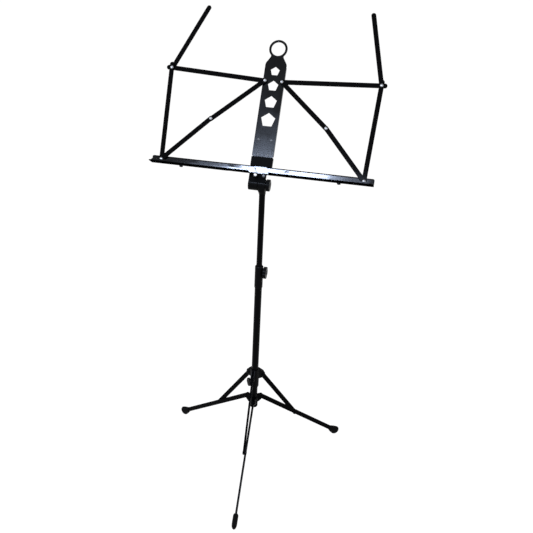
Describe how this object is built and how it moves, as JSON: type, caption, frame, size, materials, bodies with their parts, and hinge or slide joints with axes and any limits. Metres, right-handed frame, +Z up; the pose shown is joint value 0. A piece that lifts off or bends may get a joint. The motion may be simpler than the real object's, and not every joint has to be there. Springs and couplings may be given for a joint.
{
  "type": "music stand",
  "caption": "Folding music stand with a tilting desk of hinged flat bars and trays, a telescoping mast and a folding tripod",
  "frame": {"origin": "on the floor under the middle of the stand's overall box", "axes": "+Z up; the player stands at -Y; +X to the player's right when facing the stand"},
  "size_m": [0.4788, 0.4491, 1.0949],
  "materials": {
    "black_paint": "glossy black enamel on steel",
    "bright_steel": "bright plated steel",
    "black_plastic": "moulded black plastic",
    "black_rubber": "moulded black rubber"
  },
  "bodies": {
    "base": {"lower_tube": "black_paint", "tube_plug": "black_plastic", "leg_hub": "black_paint", "hub_pins": "black_paint", "height_collar": "black_plastic"},
    "slider": {"crown": "black_plastic", "crown_pins": "black_paint"},
    "slider_knob": {"crown_knob": "black_plastic"},
    "clamp_knob": {"height_knob": "black_plastic"},
    "bush": {"guide_bush": "black_plastic"},
    "upper_mast": {"upper_tube": "black_paint", "tube_end": "black_plastic", "mast_head": "black_plastic"},
    "desk": {"tilt_lug": "black_plastic", "tilt_bolt": "bright_steel", "desk_bracket": "black_paint", "bracket_cover": "black_plastic", "lug_rivets": "bright_steel", "centre_plate": "black_paint", "plate_rivets": "bright_steel", "arm_rivets": "bright_steel", "tray_studs": "bright_steel"},
    "head_knob": {"tilt_knob": "black_plastic", "tilt_washer": "bright_steel"},
    "leg_front": {"leg_front": "black_paint", "foot_front": "black_rubber"},
    "brace_front": {"brace_front": "black_paint"},
    "leg_right": {"leg_right": "black_paint", "foot_right": "black_rubber"},
    "brace_right": {"brace_right": "black_paint"},
    "leg_left": {"leg_left": "black_paint", "foot_left": "black_rubber"},
    "brace_left": {"brace_left": "black_paint"},
    "arm_right": {"top_arm_right": "black_paint", "outer_rivet_right": "bright_steel"},
    "side_bar_right": {"upright_right": "black_paint"},
    "ledge_right": {"tray_right": "black_paint", "tray_rivet_right": "bright_steel"},
    "upper_stay_right": {"stay_upper_right": "black_paint"},
    "lower_stay_right": {"stay_lower_right": "black_paint", "knee_rivet_right": "bright_steel"},
    "page_horn_right": {"horn_right": "black_paint"},
    "clip_right": {"page_clip_right": "bright_steel"},
    "arm_left": {"top_arm_left": "black_paint", "outer_rivet_left": "bright_steel"},
    "side_bar_left": {"upright_left": "black_paint"},
    "ledge_left": {"tray_left": "black_paint", "tray_rivet_left": "bright_steel"},
    "upper_stay_left": {"stay_upper_left": "black_paint"},
    "lower_stay_left": {"stay_lower_left": "black_paint", "knee_rivet_left": "bright_steel"},
    "page_horn_left": {"horn_left": "black_paint"},
    "clip_left": {"page_clip_left": "bright_steel"}
  },
  "joints": [
    {"name": "tripod_fold", "type": "slide", "parent": "base", "child": "slider", "axis": [0, 0, 1], "range_m": [0, 0.226]},
    {"name": "slider_knob_turn", "type": "hinge", "parent": "slider", "child": "slider_knob", "pos_m": [-0.00394, 0.02634, 0.2413], "axis": [-0.8368, -0.5476, 0], "continuous": true},
    {"name": "leg_front_pivot", "type": "hinge", "parent": "base", "child": "leg_front", "pos_m": [0.00945, 0.01327, 0.1887], "axis": [-0.9984, -0.0558, 0], "range_deg": [0, 118.01]},
    {"name": "brace_front_pivot", "type": "hinge", "parent": "slider", "child": "brace_front", "pos_m": [0.00485, 0.01501, 0.26129], "axis": [-0.9984, -0.0558, 0], "range_deg": [-26.25, 0]},
    {"name": "leg_right_pivot", "type": "hinge", "parent": "base", "child": "leg_right", "pos_m": [0.02144, 0.04564, 0.1887], "axis": [0.5476, -0.8368, 0], "range_deg": [0, 118.01]},
    {"name": "brace_right_pivot", "type": "hinge", "parent": "slider", "child": "brace_right", "pos_m": [0.02223, 0.04077, 0.26129], "axis": [0.5476, -0.8368, 0], "range_deg": [-26.25, 0]},
    {"name": "leg_left_pivot", "type": "hinge", "parent": "base", "child": "leg_left", "pos_m": [-0.01259, 0.03983, 0.1887], "axis": [0.4509, 0.8926, 0], "range_deg": [0, 118.01]},
    {"name": "brace_left_pivot", "type": "hinge", "parent": "slider", "child": "brace_left", "pos_m": [-0.00877, 0.04294, 0.26129], "axis": [0.4509, 0.8926, 0], "range_deg": [-26.25, 0]},
    {"name": "clamp_knob_turn", "type": "hinge", "parent": "base", "child": "clamp_knob", "pos_m": [0.0201, 0.03291, 0.5485], "axis": [1, 0, 0], "continuous": true},
    {"name": "mast_turn", "type": "hinge", "parent": "base", "child": "bush", "pos_m": [0.0061, 0.03291, 0.555], "axis": [0, 0, 1], "continuous": true},
    {"name": "mast_height", "type": "slide", "parent": "bush", "child": "upper_mast", "axis": [0, 0, 1], "range_m": [-0.165, 0.15]},
    {"name": "desk_tilt", "type": "hinge", "parent": "upper_mast", "child": "desk", "pos_m": [0.0061, 0.03291, 0.759], "axis": [-1, 0, 0], "range_deg": [-31.8, 58]},
    {"name": "head_knob_turn", "type": "hinge", "parent": "desk", "child": "head_knob", "pos_m": [0.0191, 0.03291, 0.759], "axis": [1, 0, 0], "continuous": true},
    {"name": "desk_fold_right", "type": "hinge", "parent": "desk", "child": "arm_right", "pos_m": [0.0182, 0.13451, 0.95474], "axis": [0, -0.8499, 0.527], "range_deg": [0, 80]},
    {"name": "upright_right_pivot", "type": "hinge", "parent": "arm_right", "child": "side_bar_right", "pos_m": [0.22721, 0.13832, 0.96526], "axis": [0, -0.8499, 0.527], "range_deg": [-80.1, 0.1]},
    {"name": "tray_right_pivot", "type": "hinge", "parent": "desk", "child": "ledge_right", "pos_m": [0.00895, 0.02678, 0.78175], "axis": [0, -0.8499, 0.527], "range_deg": [-0.1, 80.1]},
    {"name": "stay_upper_right_pivot", "type": "hinge", "parent": "desk", "child": "upper_stay_right", "pos_m": [0.0182, 0.13255, 0.95595], "axis": [0, -0.8499, 0.527], "range_deg": [-0.1, 130.33]},
    {"name": "stay_lower_right_pivot", "type": "hinge", "parent": "ledge_right", "child": "lower_stay_right", "pos_m": [0.21796, 0.02898, 0.79327], "axis": [0, -0.8499, 0.527], "range_deg": [-115.58, 0.1]},
    {"name": "horn_right_turn", "type": "hinge", "parent": "arm_right", "child": "page_horn_right", "pos_m": [0.22721, 0.14223, 0.96283], "axis": [0, -0.8499, 0.527], "range_deg": [-25, 79.4]},
    {"name": "clip_right_turn", "type": "hinge", "parent": "ledge_right", "child": "clip_right", "pos_m": [0.1685, 0.01647, 0.79055], "axis": [0, 0.527, 0.8499], "range_deg": [-5, 95]},
    {"name": "desk_fold_left", "type": "hinge", "parent": "desk", "child": "arm_left", "pos_m": [-0.0182, 0.13451, 0.95474], "axis": [0, 0.8499, -0.527], "range_deg": [0, 80]},
    {"name": "upright_left_pivot", "type": "hinge", "parent": "arm_left", "child": "side_bar_left", "pos_m": [-0.22721, 0.13832, 0.96526], "axis": [0, 0.8499, -0.527], "range_deg": [-80.1, 0.1]},
    {"name": "tray_left_pivot", "type": "hinge", "parent": "desk", "child": "ledge_left", "pos_m": [-0.00895, 0.02678, 0.78175], "axis": [0, 0.8499, -0.527], "range_deg": [-0.1, 80.1]},
    {"name": "stay_upper_left_pivot", "type": "hinge", "parent": "desk", "child": "upper_stay_left", "pos_m": [-0.0182, 0.13255, 0.95595], "axis": [0, 0.8499, -0.527], "range_deg": [-0.1, 132.06]},
    {"name": "stay_lower_left_pivot", "type": "hinge", "parent": "ledge_left", "child": "lower_stay_left", "pos_m": [-0.21796, 0.02898, 0.79327], "axis": [0, 0.8499, -0.527], "range_deg": [-117.35, 0.1]},
    {"name": "horn_left_turn", "type": "hinge", "parent": "arm_left", "child": "page_horn_left", "pos_m": [-0.22721, 0.14223, 0.96283], "axis": [0, 0.8499, -0.527], "range_deg": [-25, 69.6]},
    {"name": "clip_left_turn", "type": "hinge", "parent": "ledge_left", "child": "clip_left", "pos_m": [-0.1685, 0.01647, 0.79055], "axis": [0, -0.527, -0.8499], "range_deg": [-5, 95]}
  ],
  "couplings": [
    {"joint": "leg_front_pivot", "follows": "tripod_fold", "rad_per_m": 9.1099},
    {"joint": "brace_front_pivot", "follows": "tripod_fold", "rad_per_m": -2.0233},
    {"joint": "leg_right_pivot", "follows": "tripod_fold", "rad_per_m": 9.1099},
    {"joint": "brace_right_pivot", "follows": "tripod_fold", "rad_per_m": -2.0233},
    {"joint": "leg_left_pivot", "follows": "tripod_fold", "rad_per_m": 9.1099},
    {"joint": "brace_left_pivot", "follows": "tripod_fold", "rad_per_m": -2.0233},
    {"joint": "upright_right_pivot", "follows": "desk_fold_right", "ratio": -1},
    {"joint": "tray_right_pivot", "follows": "desk_fold_right", "ratio": 1},
    {"joint": "stay_upper_right_pivot", "follows": "desk_fold_right", "ratio": 1.6279},
    {"joint": "stay_lower_right_pivot", "follows": "desk_fold_right", "ratio": -1.4436},
    {"joint": "upright_left_pivot", "follows": "desk_fold_left", "ratio": -1},
    {"joint": "tray_left_pivot", "follows": "desk_fold_left", "ratio": 1},
    {"joint": "stay_upper_left_pivot", "follows": "desk_fold_left", "ratio": 1.6495},
    {"joint": "stay_lower_left_pivot", "follows": "desk_fold_left", "ratio": -1.4656}
  ]
}
